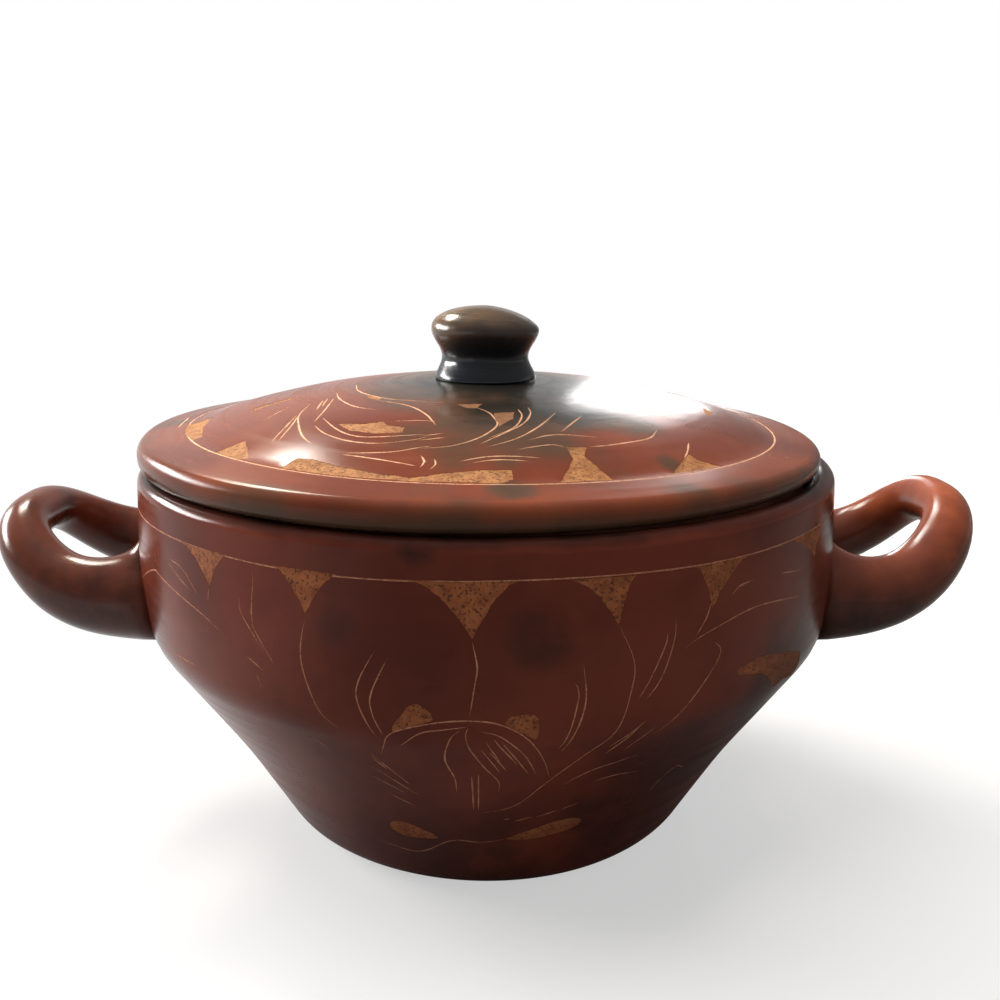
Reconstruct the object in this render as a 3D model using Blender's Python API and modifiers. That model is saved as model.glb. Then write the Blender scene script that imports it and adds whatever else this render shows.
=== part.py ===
"""A lidded serving bowl in burnished red clay: a turned bowl with two looped ear handles,
and a domed lid with a locating flange and a mushroom knob. Metres, +Z up, standing at the origin."""

import math

import bmesh
import bpy
from mathutils import Matrix, Vector

OBJECT_NAME = "lidded_bowl"

# Bowl, radii from the turning axis and heights above the table
FOOT_RADIUS = 0.084
FOOT_ROUNDING = 0.020
SHOULDER_RADIUS = 0.139
SHOULDER_HEIGHT = 0.0895
SHOULDER_ROUNDING = 0.024
CONE_HOLLOW = 0.0022
CONE_ROUNDING = 0.300
BELLY_RADIUS = 0.141
BELLY_HEIGHT = 0.116
BELLY_ROUNDING = 0.150
RIM_RADIUS = 0.1395
RIM_HEIGHT = 0.152
RIM_THICKNESS = 0.009
RIM_ROUNDING = 0.0044
LIP_HEIGHT = 0.016
WALL_THICKNESS = 0.0075
FLOOR_THICKNESS = 0.009
FLOOR_ROUNDING = 0.030

# Lid, heights above the seat on the bowl's rim
LID_SETBACK = 0.0028
LID_EDGE_HEIGHT = 0.0092
LID_EDGE_ROUNDING = 0.0044
BAND_WIDTH = 0.019
BAND_RISE = 0.0028
DOME_RISE = 0.018
DOME_POWER = 2.4
LID_THICKNESS = 0.007

# Locating flange under the lid
FLANGE_PLAY = 0.002
FLANGE_THICKNESS = 0.007
FLANGE_DEPTH = 0.012
FLANGE_ROUNDING = 0.0025
FLANGE_SHOULDER = 0.0015

# Knob, heights above its foot
KNOB_HEIGHT = 0.0295
KNOB_RADIUS = 0.022
KNOB_CAP_HEIGHT = 0.020
KNOB_NECK_RADIUS = 0.0178
KNOB_NECK_HEIGHT = 0.009
KNOB_FOOT_RADIUS = 0.0207
CROWN_MARGIN = 0.001

# Handles: rolls of clay bent into loops that leave the wall level and curve up to tips of unlike height
HANDLE_HEIGHT = 0.100
HANDLE_HALF_SPREAD = 0.039
HANDLE_REACH = 0.0575
HANDLE_RISE_RIGHT = 0.0293
HANDLE_RISE_LEFT = 0.0250
HANDLE_RISE_POWER = 3.0
HANDLE_SQUARENESS = 3.0
HANDLE_TIP_RADIUS = 0.0094
HANDLE_ROOT_RADIUS = 0.0172
HANDLE_ROOT_DEPTH = 0.012

# Gap between pieces that touch
JOINT_GAP = 0.0003

# Facets, and the share of a side that one rounding may take
RING_STEPS = 64
KNOB_STEPS = 32
ARC_STEP = math.radians(22.5)
DOME_POINTS = 8
KNOB_POINTS = 6
LOOP_POINTS = 25
LOOP_SAMPLES = 721
ROLL_RESOLUTION = 6
MERGE_DISTANCE = 0.00001
ROUNDING_SHARE = 0.49

# Sizes that follow from those above
CONE_SLOPE = (SHOULDER_RADIUS - FOOT_RADIUS) / SHOULDER_HEIGHT
RIM_INNER_RADIUS = RIM_RADIUS - RIM_THICKNESS
LID_RADIUS = RIM_RADIUS - LID_SETBACK
DOME_RADIUS = LID_RADIUS - BAND_WIDTH
BAND_HEIGHT = LID_EDGE_HEIGHT + BAND_RISE
FLANGE_OUTER_RADIUS = RIM_INNER_RADIUS - FLANGE_PLAY
FLANGE_INNER_RADIUS = FLANGE_OUTER_RADIUS - FLANGE_THICKNESS
UNDERSIDE_RADIUS = FLANGE_INNER_RADIUS - FLANGE_SHOULDER
CROWN_RADIUS = KNOB_FOOT_RADIUS + CROWN_MARGIN


def clear_scene():
    for obj in list(bpy.data.objects):
        bpy.data.objects.remove(obj, do_unlink=True)


def new_collection(name):
    collection = bpy.data.collections.new(name)
    bpy.context.scene.collection.children.link(collection)
    return collection


def clay(name, colour, roughness):
    material = bpy.data.materials.new(name)
    material.use_nodes = True
    shader = material.node_tree.nodes["Principled BSDF"]
    shader.inputs["Base Color"].default_value = (*colour, 1.0)
    shader.inputs["Roughness"].default_value = roughness
    shader.inputs["Metallic"].default_value = 0.0
    return material


def rounded_outline(corners):
    """Points of an outline of (radius, height, rounding) corners, each rounded by an arc."""
    outline = [Vector(corners[0][:2])]
    for before, corner, after in zip(corners, corners[1:], corners[2:]):
        point = Vector(corner[:2])
        back = Vector(before[:2]) - point
        ahead = Vector(after[:2]) - point
        half_angle = back.angle(ahead) / 2
        longest = ROUNDING_SHARE * min(back.length, ahead.length)
        tangent = min(corner[2] / math.tan(half_angle), longest)
        if tangent < MERGE_DISTANCE:
            outline.append(point)
            continue
        radius = tangent * math.tan(half_angle)
        bisector = (back.normalized() + ahead.normalized()).normalized()
        centre = point + bisector * radius / math.sin(half_angle)
        sweep = math.pi - 2 * half_angle
        turn = math.copysign(sweep, back.x * ahead.y - back.y * ahead.x)
        steps = max(2, math.ceil(sweep / ARC_STEP))
        spoke = point + back.normalized() * tangent - centre
        for step in range(steps + 1):
            outline.append(centre + Matrix.Rotation(-turn * step / steps, 2) @ spoke)
    outline.append(Vector(corners[-1][:2]))
    return outline


def turned(name, outline, collection, steps=RING_STEPS, closed=False):
    """An object turned about Z from an outline that runs down its outer side."""
    points = [(point[0], 0.0, point[1]) for point in outline]
    edges = [(i, i + 1) for i in range(len(points) - 1)]
    if closed:
        edges.append((len(points) - 1, 0))
    mesh = bpy.data.meshes.new(name)
    mesh.from_pydata(points, edges, [])
    obj = bpy.data.objects.new(name, mesh)
    collection.objects.link(obj)
    screw = obj.modifiers.new("turning", "SCREW")
    screw.axis = "Z"
    screw.angle = 2 * math.pi
    screw.steps = steps
    screw.render_steps = steps
    screw.use_smooth_shade = True
    screw.use_merge_vertices = True
    screw.merge_threshold = MERGE_DISTANCE
    return obj


def outer_corners():
    """The bowl's outside, from the rim down to the foot."""
    cone_middle = (FOOT_RADIUS + SHOULDER_RADIUS) / 2 - CONE_HOLLOW
    return [
        (RIM_RADIUS, RIM_HEIGHT, RIM_ROUNDING),
        (BELLY_RADIUS, BELLY_HEIGHT, BELLY_ROUNDING),
        (SHOULDER_RADIUS, SHOULDER_HEIGHT, SHOULDER_ROUNDING),
        (cone_middle, SHOULDER_HEIGHT / 2, CONE_ROUNDING),
        (FOOT_RADIUS, 0.0, FOOT_ROUNDING),
        (0.0, 0.0, 0.0),
    ]


def inner_corners():
    """The bowl's inside, from the middle of its floor up to the rim."""
    inner_shoulder = SHOULDER_RADIUS - WALL_THICKNESS
    rise = WALL_THICKNESS * (math.hypot(1.0, CONE_SLOPE) - 1.0) / CONE_SLOPE
    inner_shoulder_height = SHOULDER_HEIGHT + rise
    floor_radius = inner_shoulder - (inner_shoulder_height - FLOOR_THICKNESS) * CONE_SLOPE
    return [
        (0.0, FLOOR_THICKNESS, 0.0),
        (floor_radius, FLOOR_THICKNESS, FLOOR_ROUNDING),
        (inner_shoulder, inner_shoulder_height, SHOULDER_ROUNDING),
        (BELLY_RADIUS - WALL_THICKNESS, BELLY_HEIGHT, BELLY_ROUNDING),
        (RIM_INNER_RADIUS, RIM_HEIGHT - LIP_HEIGHT, LIP_HEIGHT),
        (RIM_INNER_RADIUS, RIM_HEIGHT, RIM_ROUNDING),
    ]


def make_bowl(collection):
    return turned("bowl", rounded_outline(inner_corners() + outer_corners()), collection)


def make_root_cutter(collection):
    """The bowl's outer form, grown by the joint gap, that shapes the handles' ends to the wall."""
    top = [(0.0, RIM_HEIGHT, 0.0)]
    outline = rounded_outline(top + outer_corners())
    grown = [(point.x + JOINT_GAP if point.x > 0 else 0.0, point.y) for point in outline]
    cutter = turned("root_cutter", grown, collection)
    cutter.hide_render = True
    cutter.display_type = "WIRE"
    return cutter


def loop_point(angle, rise):
    """Where a handle's centre line is, and how thick its roll is there."""
    side = math.copysign(abs(math.sin(angle)) ** (2 / HANDLE_SQUARENESS), math.sin(angle))
    out = max(math.cos(angle), 0.0) ** (2 / HANDLE_SQUARENESS)
    wall = math.sqrt(max(SHOULDER_RADIUS**2 - HANDLE_HALF_SPREAD**2, 0.0))
    place = Vector((
        wall + HANDLE_REACH * out,
        HANDLE_HALF_SPREAD * side,
        HANDLE_HEIGHT + rise * out**HANDLE_RISE_POWER,
    ))
    radius = HANDLE_TIP_RADIUS + (HANDLE_ROOT_RADIUS - HANDLE_TIP_RADIUS) * (1 - out)
    return place, radius


def loop_points(rise):
    """Points evenly spaced along the loop, with a root at each end that reaches into the wall."""
    angles = [math.pi * (i / (LOOP_SAMPLES - 1) - 0.5) for i in range(LOOP_SAMPLES)]
    samples = [loop_point(angle, rise) for angle in angles]
    lengths = [0.0]
    for (here, _), (there, _) in zip(samples, samples[1:]):
        lengths.append(lengths[-1] + (there - here).length)
    points = []
    index = 0
    for step in range(LOOP_POINTS):
        wanted = lengths[-1] * step / (LOOP_POINTS - 1)
        while index < LOOP_SAMPLES - 1 and lengths[index] < wanted:
            index += 1
        points.append(samples[index])
    inward = Vector((-HANDLE_ROOT_DEPTH, 0.0, 0.0))
    first = (points[0][0] + inward, points[0][1])
    last = (points[-1][0] + inward, points[-1][1])
    return [first] + points + [last]


def make_roll(name, rise):
    """A handle's roll of clay as a closed mesh, before its ends are shaped to the wall."""
    curve = bpy.data.curves.new(name, "CURVE")
    curve.dimensions = "3D"
    curve.bevel_depth = HANDLE_TIP_RADIUS
    curve.bevel_resolution = ROLL_RESOLUTION
    curve.use_fill_caps = True
    points = loop_points(rise)
    spline = curve.splines.new("POLY")
    spline.points.add(len(points) - 1)
    for spot, (place, radius) in zip(spline.points, points):
        spot.co = (*place, 1.0)
        spot.radius = radius / HANDLE_TIP_RADIUS
    wire = bpy.data.objects.new(name, curve)
    bpy.context.scene.collection.objects.link(wire)
    evaluated = wire.evaluated_get(bpy.context.evaluated_depsgraph_get())
    mesh = bpy.data.meshes.new_from_object(evaluated)
    bpy.data.objects.remove(wire, do_unlink=True)
    welded = bmesh.new()
    welded.from_mesh(mesh)
    bmesh.ops.remove_doubles(welded, verts=welded.verts, dist=MERGE_DISTANCE)
    bmesh.ops.recalc_face_normals(welded, faces=welded.faces)
    welded.to_mesh(mesh)
    welded.free()
    mesh.shade_smooth()
    return mesh


def make_handles(cutter, collection):
    """A roll on each side, the left one turned half round the axis."""
    handles = []
    sides = (("handle_right", HANDLE_RISE_RIGHT, 0.0), ("handle_left", HANDLE_RISE_LEFT, math.pi))
    for name, rise, turn in sides:
        handle = bpy.data.objects.new(name, make_roll(name, rise))
        handle.rotation_euler = (0.0, 0.0, turn)
        collection.objects.link(handle)
        cut = handle.modifiers.new("shaped to the wall", "BOOLEAN")
        cut.operation = "DIFFERENCE"
        cut.solver = "EXACT"
        cut.object = cutter
        handles.append(handle)
    return handles


def dome_height(radius):
    return BAND_HEIGHT + DOME_RISE * (1 - (radius / DOME_RADIUS) ** DOME_POWER)


def underside_height(radius):
    crown = dome_height(CROWN_RADIUS) - LID_THICKNESS
    return crown * (1 - (radius / UNDERSIDE_RADIUS) ** DOME_POWER)


def make_lid(collection):
    """A domed shell with a flat crown for the knob, a near-level band and a rounded edge."""
    corners = [(0.0, dome_height(CROWN_RADIUS), 0.0)]
    for i in range(DOME_POINTS):
        radius = CROWN_RADIUS + (DOME_RADIUS - CROWN_RADIUS) * i / (DOME_POINTS - 1)
        corners.append((radius, dome_height(radius), 0.0))
    corners.append((LID_RADIUS, LID_EDGE_HEIGHT, LID_EDGE_ROUNDING))
    corners.append((LID_RADIUS, 0.0, LID_EDGE_ROUNDING))
    for i in range(DOME_POINTS):
        radius = UNDERSIDE_RADIUS * (1 - i / DOME_POINTS)
        corners.append((radius, underside_height(radius), 0.0))
    corners.append((0.0, underside_height(0.0), 0.0))
    return turned("lid", rounded_outline(corners), collection)


def make_flange(collection):
    """The ring under the lid that drops inside the bowl's rim."""
    corners = [
        (FLANGE_OUTER_RADIUS, 0.0, 0.0),
        (FLANGE_OUTER_RADIUS, -FLANGE_DEPTH, FLANGE_ROUNDING),
        (FLANGE_INNER_RADIUS, -FLANGE_DEPTH, FLANGE_ROUNDING),
        (FLANGE_INNER_RADIUS, 0.0, 0.0),
    ]
    flange = turned("lid_flange", rounded_outline(corners), collection, closed=True)
    flange.location.z = -JOINT_GAP
    return flange


def swept(start, end, share):
    """A value that leaves start and reaches end level."""
    return start + (end - start) * (1 - math.cos(math.pi * share)) / 2


def make_knob(collection):
    """A mushroom knob: rounded cap, waisted neck and flared foot."""
    outline = []
    for i in range(KNOB_POINTS):
        angle = math.pi / 2 * (1 - i / KNOB_POINTS)
        height = KNOB_CAP_HEIGHT + (KNOB_HEIGHT - KNOB_CAP_HEIGHT) * math.sin(angle)
        outline.append((KNOB_RADIUS * max(math.cos(angle), 0.0) if i else 0.0, height))
    for i in range(KNOB_POINTS):
        share = i / KNOB_POINTS
        height = KNOB_CAP_HEIGHT + (KNOB_NECK_HEIGHT - KNOB_CAP_HEIGHT) * share
        outline.append((swept(KNOB_RADIUS, KNOB_NECK_RADIUS, share), height))
    for i in range(KNOB_POINTS + 1):
        share = i / KNOB_POINTS
        radius = swept(KNOB_NECK_RADIUS, KNOB_FOOT_RADIUS, share)
        outline.append((radius, KNOB_NECK_HEIGHT * (1 - share)))
    outline.append((0.0, 0.0))
    knob = turned("knob", outline, collection, steps=KNOB_STEPS)
    knob.location.z = dome_height(CROWN_RADIUS) + JOINT_GAP
    return knob


def main():
    clear_scene()
    parts = new_collection(OBJECT_NAME)
    cutters = new_collection("cutters")

    red_clay = clay("burnished_red_clay", (0.16, 0.042, 0.024), 0.28)
    handle_clay = clay("burnished_handle_clay", (0.13, 0.036, 0.022), 0.25)
    lid_clay = clay("burnished_lid_clay", (0.20, 0.055, 0.030), 0.28)
    flange_clay = clay("plain_red_clay", (0.26, 0.10, 0.055), 0.70)
    black_clay = clay("smoked_black_clay", (0.012, 0.011, 0.011), 0.22)

    bowl = make_bowl(parts)
    bowl.data.materials.append(red_clay)
    for handle in make_handles(make_root_cutter(cutters), parts):
        handle.data.materials.append(handle_clay)
        handle.parent = bowl

    lift = bpy.data.objects.new("lid_lift", None)
    lift.location.z = RIM_HEIGHT + JOINT_GAP
    parts.objects.link(lift)
    lid_pieces = (
        (make_lid(parts), lid_clay),
        (make_flange(parts), flange_clay),
        (make_knob(parts), black_clay),
    )
    for piece, material in lid_pieces:
        piece.data.materials.append(material)
        piece.parent = lift


main()
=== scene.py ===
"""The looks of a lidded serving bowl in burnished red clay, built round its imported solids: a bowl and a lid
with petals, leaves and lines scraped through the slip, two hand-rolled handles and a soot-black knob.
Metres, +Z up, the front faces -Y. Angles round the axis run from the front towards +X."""

import math

import bmesh
import bpy
import numpy as np
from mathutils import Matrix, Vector
from mathutils.geometry import delaunay_2d_cdt


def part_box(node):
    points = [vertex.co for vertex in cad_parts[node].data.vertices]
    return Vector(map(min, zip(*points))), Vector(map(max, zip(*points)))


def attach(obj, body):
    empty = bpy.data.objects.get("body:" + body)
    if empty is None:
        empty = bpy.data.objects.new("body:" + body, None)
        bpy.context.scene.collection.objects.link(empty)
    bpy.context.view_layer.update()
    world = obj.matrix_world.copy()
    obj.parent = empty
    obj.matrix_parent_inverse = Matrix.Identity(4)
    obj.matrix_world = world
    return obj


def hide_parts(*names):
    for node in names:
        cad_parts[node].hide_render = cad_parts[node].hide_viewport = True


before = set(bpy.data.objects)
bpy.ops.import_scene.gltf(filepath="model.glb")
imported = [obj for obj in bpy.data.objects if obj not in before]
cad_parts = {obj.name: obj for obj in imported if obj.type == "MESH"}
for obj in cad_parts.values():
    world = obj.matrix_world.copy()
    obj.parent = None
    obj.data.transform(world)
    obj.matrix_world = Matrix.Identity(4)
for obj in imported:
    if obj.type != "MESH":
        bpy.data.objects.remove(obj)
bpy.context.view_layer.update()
MM = 0.001

# Sizes taken from the solids
RIM_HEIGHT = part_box("bowl")[1].z
SEAT_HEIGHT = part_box("lid")[0].z
LID_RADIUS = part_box("lid")[1].x
FLANGE_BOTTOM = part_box("lid_flange")[0].z
FLANGE_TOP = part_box("lid_flange")[1].z
FLANGE_OUTER_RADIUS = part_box("lid_flange")[1].x
KNOB_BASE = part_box("knob")[0].z
KNOB_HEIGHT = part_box("knob")[1].z - KNOB_BASE
KNOB_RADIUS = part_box("knob")[1].x

# Bowl, the same sizes as the solid's
FOOT_RADIUS = 0.084
FOOT_ROUNDING = 0.020
SHOULDER_RADIUS = 0.139
SHOULDER_HEIGHT = 0.0895
SHOULDER_ROUNDING = 0.024
CONE_HOLLOW = 0.0022
CONE_ROUNDING = 0.300
BELLY_RADIUS = 0.141
BELLY_HEIGHT = 0.116
BELLY_ROUNDING = 0.150
RIM_RADIUS = 0.1395
RIM_THICKNESS = 0.009
RIM_ROUNDING = 0.0044
LIP_HEIGHT = 0.016
WALL_THICKNESS = 0.0075
FLOOR_THICKNESS = 0.009
FLOOR_ROUNDING = 0.030

# Lid, flange and knob, the same sizes as the solids'
LID_EDGE_HEIGHT = 0.0092
LID_EDGE_ROUNDING = 0.0044
BAND_WIDTH = 0.019
BAND_RISE = 0.0028
DOME_RISE = 0.018
DOME_POWER = 2.4
LID_THICKNESS = 0.007
CROWN_RADIUS = 0.0217
FLANGE_THICKNESS = 0.007
FLANGE_ROUNDING = 0.0025
UNDERSIDE_RADIUS = 0.120
KNOB_CAP_HEIGHT = 0.020
KNOB_NECK_RADIUS = 0.0178
KNOB_NECK_HEIGHT = 0.009
KNOB_FOOT_RADIUS = 0.0207

# Handles, the same sizes as the solids'
HANDLE_HEIGHT = 0.100
HANDLE_HALF_SPREAD = 0.039
HANDLE_REACH = 0.0575
HANDLE_RISE_RIGHT = 0.0293
HANDLE_RISE_LEFT = 0.0250
HANDLE_RISE_POWER = 3.0
HANDLE_SQUARENESS = 3.0
HANDLE_TIP_RADIUS = 0.0094
HANDLE_ROOT_RADIUS = 0.0172

# Marks of the hand: waves of (count, phase, phase a metre, share), a lid askew, an uneven knob, flared roots
BOWL_WOBBLE = 0.0004
BOWL_WAVES = ((2, 0.6, 0, 1.0), (3, 2.0, 20, 0.6), (5, 0.0, -45, 0.5))
LID_WOBBLE = 0.0003
LID_WAVES = ((2, 2.2, 0, 1.0), (3, 0.4, 0, 0.6), (7, 0.0, 60, 0.4))
LID_LEAN = 0.0017
LID_OFFSET = 0.0023
CAP_POWER = 1.95
CAP_POWER_LEFT = 0.4
CAP_WOBBLE = 0.008
KNOB_WOBBLE = 0.006
ROLL_WOBBLE = 0.03
ROOT_FLARE = 0.60
ROOT_FLARE_TILT = 30.0
ROOT_FLARE_LENGTH_RIGHT = 0.0100
ROOT_FLARE_LENGTH_LEFT = 0.0045
ROOT_PINCH = 0.13
ROOT_SINK = 0.0015

# Scraped pattern
SCRAPE_DEPTH = 0.0001
BOWL_LINE_WIDTH = 0.00048
LID_LINE_WIDTH = 0.00065
LINE_SPACING = 0.0025
LINE_TAPER = 0.45
RAGGED = 0.00012
SEAM_ANGLE = 82.6
WALL_COLUMNS = 176
WALL_ROW = 0.004
WALL_BOTTOM = 0.014
WALL_TOP = 0.1465
LID_COLUMNS = 160
LID_RING = 0.005
LID_TOP_RADIUS = 0.1285
AREA_SLOT = 1
LINE_SLOT = 2
RING_HEIGHT = 140.0
CIRCLE_RADIUS = 119.0
BACK = 180.0

# Mesh fineness
ARC_SPACING = 0.0008
LONGEST_SIDE = 0.006
KNOB_COLUMNS = 72
KNOB_STEPS = 21
UNDERSIDE_STEPS = 25
SPANDREL_STEPS = 6
ROLL_RINGS = 120
ROLL_SIDES = 40
LOOP_SAMPLES = 2001
WELD = 0.00001
POLE = 0.000001

# Stage: the camera, where the lamps aim, floor and backdrop
CAMERA_PLACE = (0.0, -0.42, 0.233)
CAMERA_TILT = 13.75
CAMERA_LENS = 36.54
CAMERA_SHIFT = 0.0145
LAMP_TARGET = (0.0, 0.0, 0.12)
STAGE_HALF_WIDTH = 6.0
STAGE_DEPTH = 4.0
STAGE_HEIGHT = 2.0
STAGE_GREY = (0.26, 0.26, 0.26, 1.0)
FLOOR_PALE = (0.86, 0.86, 0.86, 1.0)
STAGE_ROUGHNESS = 0.9
STAGE_SHINE = 0.1
WORLD_TINT = (1.0, 0.97, 0.94, 1.0)
WORLD_STRENGTH = 0.28
WHITE = (1.0, 1.0, 1.0, 1.0)

CONE_SLOPE = (SHOULDER_RADIUS - FOOT_RADIUS) / SHOULDER_HEIGHT
RIM_INNER_RADIUS = RIM_RADIUS - RIM_THICKNESS
DOME_RADIUS = LID_RADIUS - BAND_WIDTH
BAND_HEIGHT = LID_EDGE_HEIGHT + BAND_RISE
CAP_RISE = KNOB_HEIGHT - KNOB_CAP_HEIGHT
HAND = np.random.default_rng(11)

# Spandrels between the front's petals: left end, right end and tip in degrees, depth in millimetres
FRONT_SPANDRELS = (
    (-46.5, -35.5, -39.5, 12), (-28, -18, -23, 14), (-9.5, 4, -1.5, 17.5),
    (10, 18.7, 16.4, 15), (27, 36.5, 30, 14.5), (45.5, 58, 54.5, 10),
)
SPANDREL_POWER = 1.8
SIDE_SPANDRELS = 12
SIDE_SPANDREL_HALF_WIDTH = 5.4
SIDE_SPANDREL_DEPTH = 14.0

# Strokes on the bowl as (degrees, height in millimetres) points: bud, petal veins, leaves and feathers
BUD_STROKES = (
    [(-14.5, 78), (-13.5, 84), (-12, 90), (-7, 94.5), (-2, 96), (2, 94.5), (5.5, 88.5), (8, 78), (9.5, 68)],
    [(-11.5, 84), (-8.5, 90.5), (-5.5, 92.5), (-2, 94)],
    [(-3, 93), (-4.5, 89), (-5.5, 79), (-4.5, 69), (-4.5, 61)],
    [(-2, 94), (-2.5, 91), (-2, 84.5), (0, 74.5), (2, 67), (2, 61)],
    [(-1, 92.5), (2, 90), (5, 82), (7.5, 70)], [(0, 88.5), (2, 78)], [(1, 89.5), (4.5, 76)],
    [(0.5, 83.5), (3, 73)], [(-0.7, 85), (2.1, 72)], [(2.1, 88), (6.2, 71)], [(-2, 71), (-2, 50)],
    [(-1, 72), (-1.2, 50)],
)
VEIN_STROKES = (
    [(-39.6, 128), (-40, 122)], [(-23, 126), (-23.9, 111), (-22, 95.5), (-19, 88.5)],
    [(-1.6, 122), (-1, 114), (-1.3, 108), (-2, 97)],
    [(16.4, 125), (18.6, 113), (18.6, 103.5), (17, 88.5), (13.5, 78), (9.5, 66), (5, 53), (-1, 48.5)],
    [(29.9, 128), (29, 122.5), (27.5, 117.5)],
)
LEAF_STROKES = (
    [(-13.5, 118), (-15.9, 107), (-16.2, 99.5), (-14, 87)],
    [(-12, 115.5), (-14.3, 103.5), (-14.4, 97), (-13, 88)],
    [(12, 113.5), (12.5, 100.5), (11, 87), (10, 81.5)],
    [(10.8, 108), (11.6, 103.5), (10.5, 89), (9.5, 83)],
    [(-31, 138), (-31.5, 121.5), (-30.5, 115.5), (-28, 107)],
    [(-33.5, 128), (-33.4, 122.5), (-29.5, 110.5)], [(-33, 108), (-30, 104)],
    [(-31.5, 103), (-30.8, 97)], [(-51, 131), (-44, 124)], [(-50, 132), (-46, 130.5), (-42, 123.5)],
    [(-68, 112), (-57, 123.5), (-53, 123.3), (-43, 118.5), (-38, 114), (-36.5, 111.5)],
    [(-51.5, 96), (-44.5, 96.5)], [(23, 120.6), (23.1, 117.6), (21.1, 105.7), (19.5, 98.7)],
    [(24.3, 125.3), (24.2, 117.5), (22.6, 104.8), (20.1, 97.2)],
    [(30.5, 114.5), (32, 110), (30, 101.5), (25, 88), (23, 83.5)],
    [(25.5, 113.5), (28, 116.7), (34, 120.7), (38.5, 122), (44, 121), (50.5, 118.5)],
    [(33.3, 128), (34.5, 130.5), (37.5, 131.5)], [(43.6, 130.4), (49.7, 128.2)],
    [(-55.8, 132), (-55, 127)], [(-53.7, 134.4), (-54.3, 126)],
)
FEATHER_STROKES = (
    [(-16.5, 80), (-11.5, 63)], [(-17, 72), (-10.5, 57)], [(-17.5, 66), (-12.5, 57.5)],
    [(-16.2, 77), (-14.3, 70.6)], [(-16.5, 57.5), (-11.8, 50.4)], [(-33, 57.5), (-33.5, 46)],
    [(-26, 84), (-22, 76)], [(16.5, 77), (18.6, 83), (20.8, 91)],
    [(16.7, 81), (19.4, 87), (21.2, 91.3)], [(19.6, 78.2), (23.1, 88.5)],
    [(11.7, 62.7), (15.8, 69.3), (20.3, 72.5), (23, 74)], [(16.8, 62.3), (20.4, 64.2), (25.2, 63.6)],
    [(3, 44.4), (4.7, 45.2)], [(5.2, 43.3), (8.6, 45.6)], [(9, 45), (13.4, 48.4)],
    [(13, 47.8), (16.5, 51)], [(31.3, 46), (32.5, 55.2), (34, 59), (36.8, 55.7)],
    [(-24, 25.3), (-14.5, 22.4), (-6.7, 31.5), (-1, 31), (4.2, 33)],
)

# Scraped areas on the bowl: the bud's ears, low lens-shaped leaves and a leaf on the right
BOWL_AREAS = (
    [(-9.2, 100.8), (-7.6, 99.8), (-6.5, 96.2), (-9.4, 93.2), (-11.9, 90.6), (-11.2, 95.2)],
    [(3.3, 97.5), (6, 97.5), (6.7, 94.3), (6.4, 88.5), (4.6, 91.5), (2.4, 94.8)],
    [(-18.5, 38), (-15.8, 40), (-12.3, 37), (-9.3, 32.5), (-13.9, 31), (-18.2, 32.8)],
    [(4, 33), (9.2, 38), (13.9, 41.5), (18, 41), (18, 37), (14, 33.7), (8.9, 32)],
    [(35.5, 100), (37.5, 102.3), (42, 102.5), (51, 97.5), (52.7, 93), (52.8, 86.5), (48, 88.5),
     (45.8, 87.5), (42, 95.5)],
)

# Strokes and areas on the lid as (degrees, millimetres from the axis) points, those at left drawn once
LID_LEFT_STROKES = ([(-79.5, 122.5), (-94, 124)], [(-106, 88), (-112, 105), (-118, 118)])
LID_STROKES = (
    [(-43, 106), (-48, 94), (-53.5, 85)], [(-42, 104), (-47.5, 92), (-52, 86)],
    [(-61.5, 74.5), (-53, 84.5), (-46, 91), (-39, 98), (-33.5, 102.5)],
    [(-59, 100.5), (-60, 92), (-65.5, 80)], [(-60.5, 66), (-49, 77.5), (-43, 88)],
    [(-61.5, 70), (-51.5, 79)], [(-63, 67.5), (-53.5, 75)],
    [(-70, 62), (-57, 65.5), (-43.5, 69), (-32, 69.5)],
    [(-41.5, 89.5), (-35, 94), (-27.5, 97), (-20.5, 96.5), (-14, 92), (-10.5, 87.5)],
    [(-44, 83), (-34.5, 89.5), (-28, 93), (-22, 92), (-10.5, 87)],
    [(-45.5, 60), (-28, 61), (-17.5, 69), (-11.5, 80)], [(-24, 79), (-16.5, 76), (-12.3, 76.5)],
    [(-26.5, 105), (-22.5, 104), (-16.5, 101.5), (-12, 97.5), (-9.5, 96)],
    [(-25.5, 106), (-10.5, 109.5)], [(-11, 102.5), (-9.7, 106.5), (-10, 110.5)],
    [(-8.2, 104.5), (-7.6, 108), (-8.3, 111.5)],
    [(-12.5, 98.5), (-6, 95.5), (-0.5, 88.5), (3.4, 78.5), (2.7, 70), (1, 64.5), (-4, 58.5)],
    [(11.2, 61.5), (11, 69.5), (7.4, 80.5), (1.2, 89.5)],
    [(15.2, 59.5), (14, 67.5), (9, 79), (-0.7, 94.5)], [(22.5, 67), (14, 79.5), (7.3, 89.5), (1, 96)],
    [(29, 72), (18, 85.5)], [(9, 91.5), (16, 87.5), (25.5, 91.5)],
    [(6, 98.3), (10, 96), (14.3, 95), (16.4, 97.5)],
    [(20.6, 97.7), (26.6, 97.2), (36.5, 95.5), (43, 90.5)],
    [(-4, 106), (1, 102.5), (6, 102.3), (11, 104)], [(-2.3, 107), (2.5, 104.5), (8.4, 105.5)],
    [(-14, 89.7), (-8.5, 86)], [(-13.5, 92.7), (-7.2, 89)], [(38, 110.5), (41, 107), (45, 102)],
    [(-84, 53), (-62, 55), (-40, 56), (-14, 56)],
)
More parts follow.
